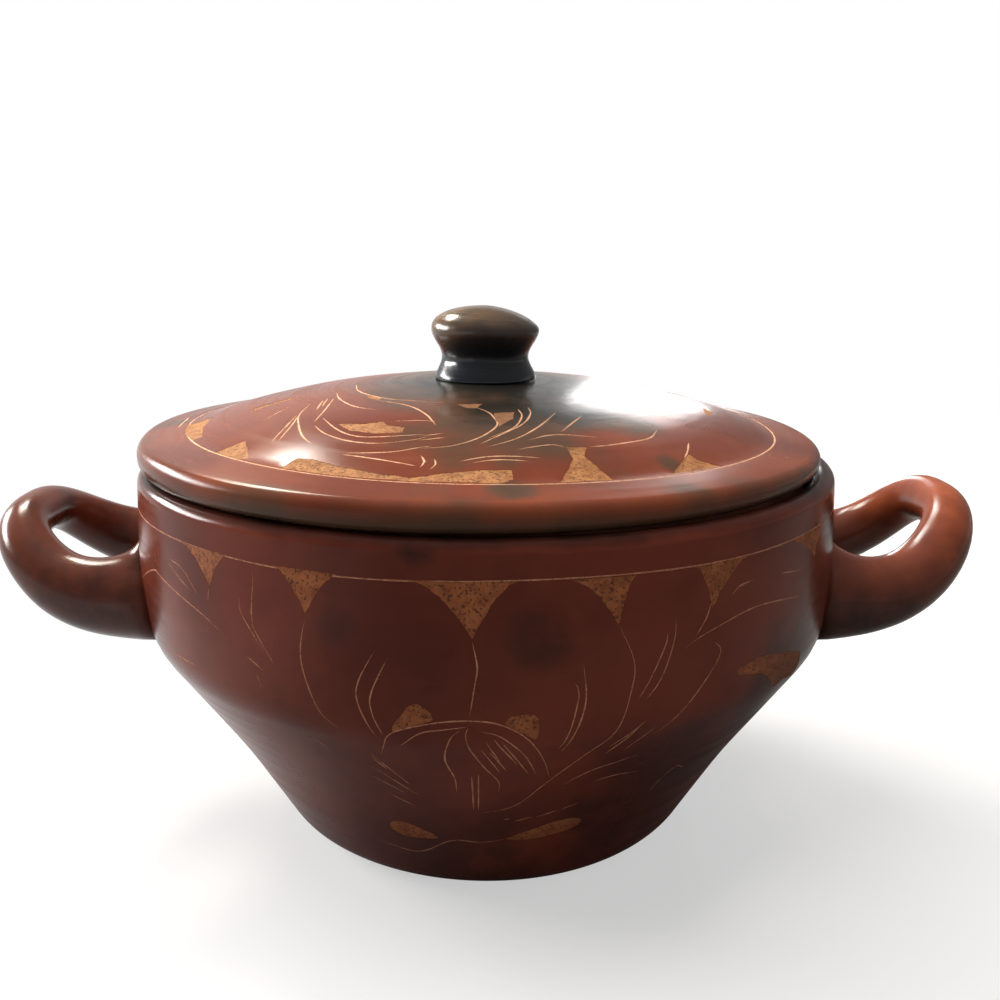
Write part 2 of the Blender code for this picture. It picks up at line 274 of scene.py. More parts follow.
LID_AREAS = (
    [(-82, 119.5), (-80.5, 109), (-72.5, 112.5), (-64, 115), (-64.5, 118), (-72, 119.5)],
    [(-51, 118.5), (-50, 108), (-42, 116), (-43, 118.5)],
    [(-33, 118.5), (-32.5, 111.5), (-29.5, 111), (-23.5, 113), (-15.5, 115.3), (-10, 116), (-6, 113),
     (-0.5, 111), (5, 110.7), (5, 116), (3, 118.5), (-10, 118.5), (-22, 118.5)],
    [(-74.6, 94), (-72.6, 93), (-74.5, 78), (-77, 79)],
    [(-36.5, 85.7), (-29.5, 83.2), (-26, 79.5), (-23.5, 82.5), (-18.5, 83), (-18, 87.3), (-24, 90),
     (-30.5, 89.7)],
    [(16.4, 97), (20.6, 97.7), (18.5, 104), (20.5, 118.5), (12, 118.5), (16.2, 105)],
    [(31.5, 118.5), (36, 112.5), (40.4, 108.7), (40.3, 113), (43, 118.5)],
    [(3, 65.5), (9.6, 64.8), (8, 72), (4, 79.5), (3.2, 72)],
    [(-10, 56.4), (-0.6, 54.8), (-2.8, 61), (-6, 61)],
    [(-54, 55.5), (-43, 56.5), (-41, 59.5), (-50, 58.5)],
    [(82.5, 90), (79, 94), (74, 93), (72, 91.5)],
)

# Painted shade on the lid's edge and the rim under it; darkening on the handles as (at the top, more below),
# the more below being painted shade; and spots as (degrees, height or distance from the axis, size,
# strength), lengths in millimetres
EDGE_SHADE = 0.24
SEAT_SHADE = 0.48
SEAT_SHADE_HEIGHT = 0.004
HANDLE_SHADE_TOP = 0.126
HANDLE_SHADE_BOTTOM = 0.092
LEFT_HANDLE_SMOKE_AND_SHADE = (0.57, 0.06)
RIGHT_HANDLE_SMOKE_AND_SHADE = (0.22, 0.52)
# Of the bowl's spots, the broad ones low on the cone and the one on the right shoulder are painted shade; the
# others are soot of the firing.
BOWL_SMOKE_AND_SHADE = (
    (-18, 123, 9, 0.38), (6.5, 122, 11, 0.42), (-9, 150, 6, 0.6), (-24, 76, 12, 0.25),
    (32, 50, 42, 0.5), (50, 84, 30, 0.64), (-4, 22, 34, 0.36), (14, 74, 24, 0.2), (60, 118, 12, 0.25),
    (150, 110, 18, 0.5), (205, 84, 24, 0.45), (250, 126, 14, 0.4), (190, 30, 40, 0.4),
)
LID_SMOKE = (
    (30, 13, 53, 1.0), (8, 60, 29, 0.85), (-24, 58, 16, 0.45), (24, 62, 26, 0.9), (8, 90, 22, 0.55),
    (-13, 90, 15, 0.4), (36, 80, 16, 0.5), (-5, 78, 18, 0.5), (-4, 97, 17, 0.45), (16, 106, 24, 0.25),
    (4, 106, 7, 0.5), (4, 124, 9, 0.6), (-9, 126, 9, 0.35), (29, 133, 10, 0.4), (40, 134, 10, 0.4),
    (33, 111, 6, 0.5), (-87, 128, 8, 0.4), (150, 90, 22, 0.5), (215, 110, 14, 0.4),
)


def unit(vectors):
    return vectors / np.maximum(np.linalg.norm(vectors, axis=-1, keepdims=True), 1e-12)


def full_turn(count):
    return 2 * math.pi * np.arange(count) / count


def compass(angle):
    return np.stack([np.sin(angle), -np.cos(angle)], axis=-1)


def from_axis(points):
    return np.hypot(points[:, 0], points[:, 1])


def waves(table, angle, level):
    return sum(share * np.sin(count * angle + phase + drift * level) for count, phase, drift, share in table)


def rounded_outline(corners):
    """An outline of (radius, height, rounding) corners, with fine arcs and no long side."""
    corners = np.array(corners)
    outline = [corners[0, :2]]
    for before, corner, after in zip(corners, corners[1:], corners[2:]):
        point = corner[:2]
        back = before[:2] - point
        ahead = after[:2] - point
        reach = min(np.linalg.norm(back), np.linalg.norm(ahead)) / 2
        back, ahead = unit(back), unit(ahead)
        half_angle = math.acos(max(-1.0, min(1.0, float(back @ ahead)))) / 2
        tangent = min(corner[2] / math.tan(half_angle), reach) if corner[2] else 0.0
        if tangent < POLE:
            outline.append(point)
            continue
        radius = tangent * math.tan(half_angle)
        sweep = math.pi - 2 * half_angle
        centre = point + unit(back + ahead) * radius / math.sin(half_angle)
        spoke = point + back * tangent - centre
        turn = -math.copysign(sweep, back[0] * ahead[1] - back[1] * ahead[0])
        steps = max(3, math.ceil(radius * sweep / ARC_SPACING))
        for share in np.linspace(0, 1, steps + 1):
            cos, sin = math.cos(turn * share), math.sin(turn * share)
            outline.append(centre + (cos * spoke[0] - sin * spoke[1], sin * spoke[0] + cos * spoke[1]))
    outline.append(corners[-1, :2])
    return divided(np.array(outline), LONGEST_SIDE)


def divided(line, longest):
    """The same line with no side longer than the given length."""
    points = [line[0]]
    for here, there in zip(line, line[1:]):
        count = max(1, math.ceil(np.linalg.norm(there - here) / longest))
        for share in np.arange(1, count + 1) / count:
            points.append(here + (there - here) * share)
    return np.array(points)


def arc_lengths(line):
    return np.concatenate([[0.0], np.cumsum(np.linalg.norm(np.diff(line, axis=0), axis=1))])


def smooth_line(points, closed=False):
    """A smooth curve through given points."""
    if closed:
        guides = np.vstack([points[-1:], points, points[:2]])
    else:
        guides = np.vstack([2 * points[:1] - points[1:2], points, 2 * points[-1:] - points[-2:-1]])
    line = []
    for before, here, there, after in zip(guides, guides[1:], guides[2:], guides[3:]):
        count = max(2, math.ceil(np.linalg.norm(there - here) / LINE_SPACING))
        for t in np.arange(count) / count:
            bend = (2 * before - 5 * here + 4 * there - after) * t**2
            twist = (3 * here - before - 3 * there + after) * t**3
            line.append(here + (there - before) * t / 2 + bend / 2 + twist / 2)
    if not closed:
        line.append(points[-1])
    return np.array(line)


class Shell:
    """A mesh in the making: points with normals and grain, faces with a material and shading."""

    def __init__(self):
        self.points, self.normals, self.grain = [], [], []
        self.faces, self.slots, self.smooth = [], [], []

    def add_points(self, points, grain, normals=None):
        """Adds points and returns their numbers. Those without normals are shaded from their faces."""
        first = len(self.points)
        self.points.extend(points)
        self.grain.extend(np.broadcast_to(grain, len(points)))
        self.normals.extend(np.zeros_like(points) if normals is None else normals)
        return list(range(first, len(self.points)))

    def add_face(self, corners, slot=0, smooth=True):
        corners = list(dict.fromkeys(corners))
        if len(corners) > 2:
            self.faces.append(corners)
            self.slots.append(slot)
            self.smooth.append(smooth)

    def add_rows(self, rows):
        """Joins rows of points, of which a row of one point is a pole."""
        for low, high in zip(rows, rows[1:]):
            count = max(len(low), len(high))
            for i in range(count):
                j = (i + 1) % count
                below = [low[i % len(low)], low[j % len(low)]]
                self.add_face(below + [high[j % len(high)], high[i % len(high)]])


def turn_outline(shell, outline, grain, angles, place):
    """Turns an outline, which runs up the outer side, about Z."""
    rows = []
    for (radius, height), value in zip(outline, grain):
        around = angles if radius > POLE else angles[:1]
        points = place(around, np.full(len(around), radius), np.full(len(around), height))
        rows.append(shell.add_points(points, value))
    shell.add_rows(rows)


def inside(points, ring):
    """Which points lie inside a ring."""
    ring = np.array(ring)
    hit = np.zeros(len(points), bool)
    near = np.all((points > ring.min(axis=0)) & (points < ring.max(axis=0)), axis=1)
    x, y = points[near].T
    within = np.zeros(len(x), bool)
    for (x1, y1), (x2, y2) in zip(ring, np.roll(ring, -1, axis=0)):
        crossing = (y1 > y) != (y2 > y)
        slope = (x2 - x1) / (y2 - y1) if y1 != y2 else 0.0
        within ^= crossing & (x < x1 + (y - y1) * slope)
    hit[near] = within
    return hit


def carve(shell, surface, net, rings):
    """Adds a surface over a flat net of points, scraped down inside the rings of (slot, ring) pairs."""
    points = [Vector(point) for point in net]
    edges = []
    for _, ring in rings:
        first = len(points)
        points.extend(Vector(point) for point in ring)
        edges.extend((first + i, first + (i + 1) % len(ring)) for i in range(len(ring)))
    points, _, triangles, *_ = delaunay_2d_cdt(points, edges, [], 0, POLE)
    flat = np.array([tuple(point) for point in points])
    triangles = np.array(triangles)
    middles = flat[triangles].mean(axis=1)
    scraped = np.zeros(len(triangles), int)
    for slot, ring in rings:
        scraped[inside(middles, ring)] = slot

    steps = np.eye(2) * WALL_ROW / 8
    across, up = (surface.place(flat + step) - surface.place(flat - step) for step in steps)
    normals = unit(np.cross(across, up))
    tops = shell.add_points(surface.place(flat), surface.grain(flat), normals)
    used = np.unique(triangles[scraped > 0])
    sunk = surface.place(flat[used]) - normals[used] * SCRAPE_DEPTH
    floors = dict(zip(used, shell.add_points(sunk, surface.grain(flat[used]), normals[used])))

    owner = {}
    for triangle, slot in zip(triangles, scraped):
        level = floors if slot else tops
        shell.add_face([level[i] for i in triangle], slot)
        for i, j in zip(triangle, np.roll(triangle, -1)):
            owner[i, j] = slot
    for (i, j), slot in owner.items():
        if slot and not owner.get((j, i), slot):
            shell.add_face([floors[j], floors[i], tops[i], tops[j]], slot, smooth=False)


def add_object(name, data):
    thing = bpy.data.objects.new(name, data)
    bpy.context.scene.collection.objects.link(thing)
    return thing


def set_values(mesh, name, values, kind="FLOAT", key="value"):
    """Keeps a value for each point of a mesh."""
    data = mesh.attributes.new(name, kind, "POINT").data
    data.foreach_set(key, np.array(values, np.float32).ravel())


def get_vectors(data, key):
    vectors = np.zeros(3 * len(data), np.float32)
    data.foreach_get(key, vectors)
    return vectors.reshape(-1, 3)


def make_piece(name, shell, materials, body, smoke_and_shade=None):
    """The object of a shell, which rides on its body in place of the node of its name."""
    mesh = bpy.data.meshes.new(name)
    mesh.from_pydata(np.array(shell.points).tolist(), [], shell.faces)
    mesh.polygons.foreach_set("material_index", shell.slots)
    mesh.polygons.foreach_set("use_smooth", shell.smooth)
    set_values(mesh, "surface_normal", shell.normals, "FLOAT_VECTOR", "vector")
    set_values(mesh, "grain", shell.grain)
    for material in materials:
        mesh.materials.append(material)

    welded = bmesh.new()
    welded.from_mesh(mesh)
    open_points = [point for point in welded.verts if point.is_boundary]
    bmesh.ops.remove_doubles(welded, verts=open_points, dist=WELD)
    welded.to_mesh(mesh)
    welded.free()

    normals = get_vectors(mesh.attributes["surface_normal"].data, "vector")
    corners = []
    for face in mesh.polygons:
        for point in face.vertices:
            corners.append(normals[point] if face.use_smooth else face.normal)
    mesh.normals_split_custom_set(np.array(corners).tolist())
    mesh.attributes.remove(mesh.attributes["surface_normal"])

    places = get_vectors(mesh.vertices, "co")
    # Darkening per point: soot of the firing and painted shade.
    set_values(mesh, "smoke_and_shade", smoke_and_shade(places) if smoke_and_shade else np.zeros(len(places)))

    piece = add_object(name, mesh)
    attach(piece, body)
    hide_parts(name)
    return piece


def angle_of(points):
    return np.arctan2(points[:, 0], -points[:, 1])


def round_the_axis(angle, radius, height):
    return np.stack([radius * np.sin(angle), -radius * np.cos(angle), height], axis=1)


def spot_shade(spots, angle, level, radius):
    """How dark spots of smoke are at points of an angle, a level and a distance from the axis."""
    shade = np.zeros(len(angle))
    for degrees, height, size, strength in spots:
        turn = np.remainder(angle - math.radians(degrees) + math.pi, 2 * math.pi) - math.pi
        distance = np.hypot(turn * radius, level - height * MM) / (size * MM)
        shade = np.maximum(shade, strength * np.exp(-(distance**3)))
    return shade


# Bowl


def bowl_outline():
    """From under the foot up the outside, over the rim and down to the middle of the floor."""
    inner_shoulder = SHOULDER_RADIUS - WALL_THICKNESS
    rise = WALL_THICKNESS * (math.hypot(1.0, CONE_SLOPE) - 1.0) / CONE_SLOPE
    inner_height = SHOULDER_HEIGHT + rise
    floor_radius = inner_shoulder - (inner_height - FLOOR_THICKNESS) * CONE_SLOPE
    corners = [
        (0.0, 0.0, 0.0),
        (FOOT_RADIUS, 0.0, FOOT_ROUNDING),
        ((FOOT_RADIUS + SHOULDER_RADIUS) / 2 - CONE_HOLLOW, SHOULDER_HEIGHT / 2, CONE_ROUNDING),
        (SHOULDER_RADIUS, SHOULDER_HEIGHT, SHOULDER_ROUNDING),
        (BELLY_RADIUS, BELLY_HEIGHT, BELLY_ROUNDING),
        (RIM_RADIUS, RIM_HEIGHT, RIM_ROUNDING),
        (RIM_INNER_RADIUS, RIM_HEIGHT, RIM_ROUNDING),
        (RIM_INNER_RADIUS, RIM_HEIGHT - LIP_HEIGHT, LIP_HEIGHT),
        (BELLY_RADIUS - WALL_THICKNESS, BELLY_HEIGHT, BELLY_ROUNDING),
        (inner_shoulder, inner_height, SHOULDER_ROUNDING),
        (floor_radius, FLOOR_THICKNESS, FLOOR_ROUNDING),
        (0.0, FLOOR_THICKNESS, 0.0),
    ]
    return rounded_outline(corners)


def bowl_point(angle, radius, height):
    """Where a point of the turned bowl lies on the hand-made one."""
    wobble = waves(BOWL_WAVES, angle, height)
    return round_the_axis(angle, radius * (1 + BOWL_WOBBLE / RIM_RADIUS * wobble), height)


class BowlWall:
    """The bowl's outer wall unrolled: across is the angle times the rim's radius, up the way along it."""

    def __init__(self, outline, lengths):
        self.outline = outline
        self.lengths = lengths

    def flat(self, picks):
        """Flat points of (degrees, millimetres high) picks, all on the same side of the seam."""
        picks = np.array(picks, float)
        turns = math.floor((picks[0, 0] - SEAM_ANGLE) / 360) + 1
        angle = np.radians(picks[:, 0] - 360 * turns)
        up = np.interp(picks[:, 1] * MM, self.outline[:, 1], self.lengths)
        return np.stack([angle * RIM_RADIUS, up], axis=1)

    def spot(self, flat):
        """Radius and height of flat points."""
        return (np.interp(flat[:, 1], self.lengths, side) for side in self.outline.T)

    def stretch(self, flat):
        radius, _ = self.spot(flat)
        return radius / RIM_RADIUS

    def grain(self, flat):
        return flat[:, 1]

    def place(self, flat):
        return bowl_point(flat[:, 0] / RIM_RADIUS, *self.spot(flat))

    def net(self):
        rows = max(2, round((self.lengths[-1] - self.lengths[0]) / WALL_ROW))
        seam = math.radians(SEAM_ANGLE)
        across = np.linspace(seam - 2 * math.pi, seam, WALL_COLUMNS + 1) * RIM_RADIUS
        up = np.linspace(self.lengths[0], self.lengths[-1], rows + 1)
        return np.stack(np.meshgrid(across, up), axis=-1).reshape(-1, 2)


def stroke(surface, picks, width):
    """The outline of a scraped line: pointed at both ends and of a hand's uneven width."""
    line = smooth_line(surface.flat(picks))
    stretch = surface.stretch(line)
    along = np.gradient(line, axis=0)
    along[:, 0] *= stretch
    along = unit(along)
    across = np.stack([-along[:, 1] / stretch, along[:, 0]], axis=1)
    share = np.linspace(0, 1, len(line))
    half = width / 2 * np.sin(np.pi * share) ** LINE_TAPER * HAND.uniform(0.75, 1.25, len(line))
    side = across * half[:, None]
    return [*line[:1], *(line + side)[1:-1], *line[-1:], *(line - side)[-2:0:-1]]


def area(surface, picks, rounded=False):
    """The outline of a scraped area, with slightly ragged edges."""
    corners = surface.flat(picks)
    if rounded:
        line = smooth_line(corners, closed=True)
    else:
        line = divided(np.vstack([corners, corners[:1]]), LINE_SPACING)[:-1]
    return list(line + HAND.normal(0.0, RAGGED, line.shape))


def spandrel(surface, left, right, tip, depth):
    """The scraped gap under the ring between two petals, whose round tops make its sides hollow."""
    shares = np.linspace(0, 1, SPANDREL_STEPS)
    steps = [(left, s) for s in shares] + [(right, s) for s in shares[-2::-1]]
    picks = [(end + (tip - end) * s, RING_HEIGHT - depth * s**SPANDREL_POWER) for end, s in steps]
    return area(surface, picks)


def ring_line(surface):
    """The line all round under the rim, cut square at the seam so that its ends meet."""
    degrees = np.linspace(SEAM_ANGLE - 360, SEAM_ANGLE, WALL_COLUMNS * 2 + 1)
    sway = 0.5 * np.sin(np.radians(3 * degrees)) + 0.3 * np.sin(np.radians(7 * degrees + 40))
    line = surface.flat([(SEAM_ANGLE - 360, RING_HEIGHT)] * len(degrees))
    line[:, 0] = np.radians(degrees) * RIM_RADIUS
    line[:, 1] += sway * MM
    half = BOWL_LINE_WIDTH / 2 * HAND.uniform(0.8, 1.2, len(line))
    half[-1] = half[0]
    up = half[:, None] * (0.0, 1.0)
    return [*(line - up), *(line + up)[::-1]]


def motifs(surface, strokes, areas, turn, width, rounded=False):
    """Strokes and scraped areas as (slot, ring) pairs, turned by some degrees."""
    rings = []
    for slot, group in ((LINE_SLOT, strokes), (AREA_SLOT, areas)):
        for picks in group:
            turned = [(angle + turn, level) for angle, level in picks]
            ring = stroke(surface, turned, width) if slot == LINE_SLOT else area(surface, turned, rounded)
            rings.append((slot, ring))
    return rings


def bowl_pattern(wall):
    """The ring, petals round to the left handle, and the same bud, leaves and feathers front and back."""
    rings = [(LINE_SLOT, ring_line(wall))]
    last = FRONT_SPANDRELS[-1][2]
    step = (360 + FRONT_SPANDRELS[0][2] - last) / (SIDE_SPANDRELS + 2)
    spandrels = list(FRONT_SPANDRELS)
    for i in range(1, SIDE_SPANDRELS + 1):
        tip = last + step * i
        lean = HAND.uniform(-1.0, 1.0)
        left = tip - SIDE_SPANDREL_HALF_WIDTH + lean
        right = tip + SIDE_SPANDREL_HALF_WIDTH + lean
        spandrels.append((left, right, tip, SIDE_SPANDREL_DEPTH * HAND.uniform(0.85, 1.15)))
    strokes = BUD_STROKES + VEIN_STROKES + LEAF_STROKES + FEATHER_STROKES
    for turn in (0.0, BACK):
        rings += motifs(wall, strokes, BOWL_AREAS, turn, BOWL_LINE_WIDTH, rounded=True)
    for sizes in spandrels:
        rings.append((AREA_SLOT, spandrel(wall, *sizes)))
    return rings


def bowl_smoke_and_shade(points):
    # Soot spots of the firing, and painted shade low on the cone and on the right shoulder.
    spots = spot_shade(BOWL_SMOKE_AND_SHADE, angle_of(points), points[:, 2], from_axis(points))
    # Painted shade on the rim's top, under the lid's edge.
    seat = np.clip(1 + (points[:, 2] - RIM_HEIGHT) / SEAT_SHADE_HEIGHT, 0, 1)
    return np.maximum(spots, (EDGE_SHADE + SEAT_SHADE) * seat)


def make_bowl(materials):
    outline = bowl_outline()
    rim = int(np.argmax(outline[:, 1]))
    first, last = (int(np.argmin(np.abs(outline[:rim, 1] - level))) for level in (WALL_BOTTOM, WALL_TOP))
    lengths = arc_lengths(outline)
    wall = BowlWall(outline[first : last + 1], lengths[first : last + 1])
    angles = math.radians(SEAM_ANGLE) + full_turn(WALL_COLUMNS)
    shell = Shell()
    turn_outline(shell, outline[: first + 1], lengths[: first + 1], angles, bowl_point)
    carve(shell, wall, wall.net(), bowl_pattern(wall))
    turn_outline(shell, outline[last:], lengths[last:], angles, bowl_point)
    make_piece("bowl", shell, materials, "bowl_body", bowl_smoke_and_shade)


# Lid


def dome_height(radius):
    """Height of the dome and the band round it above the seat."""
    dome = BAND_HEIGHT + DOME_RISE * (1 - np.minimum(radius / DOME_RADIUS, 1.0) ** DOME_POWER)
    band = BAND_HEIGHT - BAND_RISE * (radius - DOME_RADIUS) / BAND_WIDTH
    return np.where(radius < DOME_RADIUS, dome, band)


def lid_point(angle, radius, height):
    """Where a point of the turned lid lies on the hand-made one, which leans and is wider at left."""
    wobble = waves(LID_WAVES, angle, radius)
    lift = np.clip((height - SEAT_HEIGHT) / LID_EDGE_HEIGHT, 0, 1)
    points = round_the_axis(angle, radius * (1 + LID_WOBBLE / LID_RADIUS * wobble), height)
    points[:, 0] -= LID_OFFSET * (radius / LID_RADIUS) ** 2
    points[:, 2] -= lift * (LID_LEAN * points[:, 0] - LID_WOBBLE * wobble * radius) / LID_RADIUS
    return points


class LidTop:
    """The lid's top as seen from above."""

    def flat(self, picks):
        """Flat points of (degrees, millimetres from the axis) picks."""
        angle, radius = np.array(picks, float).T
        return compass(np.radians(angle)) * radius[:, None] * MM

    def stretch(self, flat):
        return np.ones(len(flat))

    def grain(self, flat):
        return from_axis(flat)

    def place(self, flat):
        radius = from_axis(flat)
        height = SEAT_HEIGHT + dome_height(np.maximum(radius, CROWN_RADIUS))
        return lid_point(angle_of(flat), radius, height)

    def net(self):
        points = [(0.0, 0.0)]
        rings = round(LID_TOP_RADIUS / LID_RING)
        for ring in range(1, rings + 1):
            radius = LID_TOP_RADIUS * ring / rings
            count = LID_COLUMNS if ring == rings else max(6, round(2 * math.pi * radius / LID_RING))
            points.extend(radius * compass(full_turn(count)))
        return points


def lid_pattern(top):
    """The circle round the dome, and the same flowers and leaves front and back."""
    around = np.linspace(0.0, 2 * math.pi, 3 * LID_COLUMNS, endpoint=False)
    radius = (CIRCLE_RADIUS + 0.5 * np.sin(2 * around + 1.0)) * MM
    edge = compass(around)
    outer = edge * (radius + LID_LINE_WIDTH / 2)[:, None]
    inner = edge * (radius - LID_LINE_WIDTH / 2)[:, None]
    rings = [(LINE_SLOT, [*outer, outer[0], inner[0], *inner[::-1]])]
    for turn, strokes in ((0.0, LID_LEFT_STROKES + LID_STROKES), (BACK, LID_STROKES)):
        rings += motifs(top, strokes, LID_AREAS, turn, LID_LINE_WIDTH)
    return rings


def lid_smoke_and_shade(points):
    shade = np.zeros(len(points))
    for degrees, distance, size, strength in LID_SMOKE:
        spot = distance * MM * compass(math.radians(degrees))
        gap = np.linalg.norm(points[:, :2] - spot, axis=1) / (size * MM)
        shade = np.maximum(shade, strength * np.exp(-(gap**3)))
    # The lid's edge gets painted shade, darker towards its foot.
    down = np.clip((SEAT_HEIGHT + LID_EDGE_HEIGHT - points[:, 2]) / LID_EDGE_HEIGHT, 0, 1)
    edge = np.clip((from_axis(points) - LID_TOP_RADIUS) / LID_EDGE_ROUNDING, 0, 1)
    return np.maximum(shade, edge * (EDGE_SHADE + SEAT_SHADE * down**2))


def lid_edge_outline():
    """From the middle of the underside out to the seat, round the edge and in over the band."""
    crown = float(dome_height(np.array(CROWN_RADIUS))) - LID_THICKNESS
    corners = []
    for share in np.linspace(0, 1, UNDERSIDE_STEPS):
        corners.append((UNDERSIDE_RADIUS * share, SEAT_HEIGHT + crown * (1 - share**DOME_POWER), 0.0))
    corners.append((LID_RADIUS, SEAT_HEIGHT, LID_EDGE_ROUNDING))
    corners.append((LID_RADIUS, SEAT_HEIGHT + LID_EDGE_HEIGHT, LID_EDGE_ROUNDING))
    corners.append((LID_TOP_RADIUS, SEAT_HEIGHT + float(dome_height(np.array(LID_TOP_RADIUS))), 0.0))
    return rounded_outline(corners)


def make_lid(materials):
    top = LidTop()
    shell = Shell()
    edge = lid_edge_outline()
    lengths = arc_lengths(edge)
    turn_outline(shell, edge, LID_TOP_RADIUS + lengths[-1] - lengths, full_turn(LID_COLUMNS), lid_point)
    carve(shell, top, top.net(), lid_pattern(top))
    make_piece("lid", shell, materials, "lid_body", lid_smoke_and_shade)


def make_flange(material):
    inner = FLANGE_OUTER_RADIUS - FLANGE_THICKNESS
    middle = (inner + FLANGE_OUTER_RADIUS) / 2
    corners = [
        (middle, FLANGE_TOP, 0.0),
        (inner, FLANGE_TOP, 0.0),
        (inner, FLANGE_BOTTOM, FLANGE_ROUNDING),
        (FLANGE_OUTER_RADIUS, FLANGE_BOTTOM, FLANGE_ROUNDING),
        (FLANGE_OUTER_RADIUS, FLANGE_TOP, 0.0),
        (middle, FLANGE_TOP, 0.0),
    ]
    shell = Shell()
    outline = rounded_outline(corners)
    turn_outline(shell, outline, arc_lengths(outline), full_turn(LID_COLUMNS), round_the_axis)
    make_piece("lid_flange", shell, [material], "lid_body")


# Knob


def swept(start, end, share):
    """A value that leaves start and reaches end level."""
    return start + (end - start) * (1 - np.cos(np.pi * share)) / 2


def knob_outline():
    """From the middle of the foot out, up the waisted neck and over an even cap."""
    share = np.linspace(0, 1, KNOB_STEPS)
    neck = np.stack([swept(KNOB_FOOT_RADIUS, KNOB_NECK_RADIUS, share), KNOB_NECK_HEIGHT * share], axis=1)
    throat = KNOB_NECK_HEIGHT + (KNOB_CAP_HEIGHT - KNOB_NECK_HEIGHT) * share
    throat = np.stack([swept(KNOB_NECK_RADIUS, KNOB_RADIUS, share), throat], axis=1)
    turn = np.pi / 2 * (1 - share)
    cap = np.stack([KNOB_RADIUS * np.sin(turn), KNOB_CAP_HEIGHT + CAP_RISE * np.cos(turn)], axis=1)
    return np.vstack([[(0.0, 0.0)], neck, throat[1:], cap[1:]])


def knob_point(angle, radius, height):
    """Where a point of the turned knob lies on the hand-made one, whose cap is rounder at left."""
    share = np.clip(radius / KNOB_RADIUS, 0, 1)
    power = CAP_POWER - CAP_POWER_LEFT * np.sin(angle)
    rise = CAP_RISE * (1 - share**power) ** (1 / power)
    height = np.where(height > KNOB_CAP_HEIGHT, KNOB_CAP_HEIGHT + rise, height)
    wobble = CAP_WOBBLE * np.sin(3 * angle + 1.0) * share + KNOB_WOBBLE * np.sin(5 * angle + 400 * height)
    return round_the_axis(angle, radius * (1 + wobble), height + KNOB_BASE)


def make_knob(material):
    shell = Shell()
    outline = knob_outline()
    turn_outline(shell, outline, arc_lengths(outline), full_turn(KNOB_COLUMNS), knob_point)
    return make_piece("knob", shell, [material], "lid_body")


# Handles


def wall_beside(points, outline, sink=0.0):
    """How far out along X the bowl's outer side is at points, or a surface sunk below it."""
    rim = int(np.argmax(outline[:, 1]))
    radius = np.interp(points[:, 2], outline[1:rim, 1], outline[1:rim, 0]) - sink
    return np.sqrt(np.maximum(radius**2 - points[:, 1] ** 2, 0.0))


def loop_line(rise):
    """Even points along a handle's centre line, with how far out each is from the wall."""
    angle = np.linspace(-np.pi / 2, np.pi / 2, LOOP_SAMPLES)
    side = np.sign(np.sin(angle)) * np.abs(np.sin(angle)) ** (2 / HANDLE_SQUARENESS)
    out = np.maximum(np.cos(angle), 0.0) ** (2 / HANDLE_SQUARENESS)
    wall = math.sqrt(SHOULDER_RADIUS**2 - HANDLE_HALF_SPREAD**2)
    height = HANDLE_HEIGHT + rise * out**HANDLE_RISE_POWER
    line = np.stack([wall + HANDLE_REACH * out, HANDLE_HALF_SPREAD * side, height], axis=1)
    lengths = arc_lengths(line)
    wanted = np.linspace(0.0, lengths[-1], ROLL_RINGS)
    line = np.stack([np.interp(wanted, lengths, line[:, i]) for i in range(3)], axis=1)
    return line, np.interp(wanted, lengths, out)


def handle_smoke_and_shade(points):
    # Darker all over, the left handle more so, and darker towards the bottom, which is painted shade.
    down = np.clip((HANDLE_SHADE_TOP - points[:, 2]) / (HANDLE_SHADE_TOP - HANDLE_SHADE_BOTTOM), 0, 1)
    left, right = (top + more * down for top, more in (LEFT_HANDLE_SMOKE_AND_SHADE, RIGHT_HANDLE_SMOKE_AND_SHADE))
    return np.where(points[:, 0] < 0, left, right)


def make_handle(name, rise, flare_length, turn, material):
    """A roll of clay along the loop, thicker at its roots, which flare and sink into the wall."""
    line, out = loop_line(rise)
    along = unit(np.gradient(line, axis=0))
    sideways = unit(np.cross(along, (0.0, 0.0, 1.0)))
    up = np.cross(sideways, along)
    around = full_turn(ROLL_SIDES)
    share = np.linspace(0, 1, ROLL_RINGS)
    tilt = math.radians(ROOT_FLARE_TILT)
    outline = bowl_outline()
    shell = Shell()
    rows = []
    for i in range(ROLL_RINGS):
        radius = HANDLE_TIP_RADIUS + (HANDLE_ROOT_RADIUS - HANDLE_TIP_RADIUS) * (1 - out[i])
        lump = np.sin(2 * around + 9 * share[i] + turn) + 0.5 * np.sin(3 * around - 17 * share[i])
        lump = 1 + ROLL_WOBBLE * lump
        spokes = np.cos(around)[:, None] * sideways[i] + np.sin(around)[:, None] * up[i]
        ring = line[i] + spokes * (radius * lump)[:, None]
        gap = np.maximum(ring[:, 0] - wall_beside(ring, outline), 0.0)
        inward = -math.copysign(1.0, line[i, 1])
        swell = ROOT_FLARE * np.maximum(spokes @ (0.0, inward * math.cos(tilt), math.sin(tilt)), 0.0)
        pinch = ROOT_PINCH * np.maximum(-inward * spokes[:, 1], 0.0)
        flare = 1 + (swell - pinch) * np.exp(-gap / flare_length)
        ring = line[i] + spokes * (radius * lump * flare)[:, None]
        wall = wall_beside(ring, outline, ROOT_SINK)
        ring[:, 0] = wall if i in (0, ROLL_RINGS - 1) else np.maximum(ring[:, 0], wall)
        rows.append(shell.add_points(ring, radius * around))
    ends = []
    for i in (0, ROLL_RINGS - 1):
        middle = np.mean([shell.points[point] for point in rows[i]], axis=0)
        ends.append(shell.add_points([middle], 0.0))
    shell.add_rows([ends[1], *rows[::-1], ends[0]])
    if turn:
        shell.points = [point * (-1.0, -1.0, 1.0) for point in shell.points]
    return make_piece(name, shell, [material], "bowl_body", handle_smoke_and_shade)


# Materials


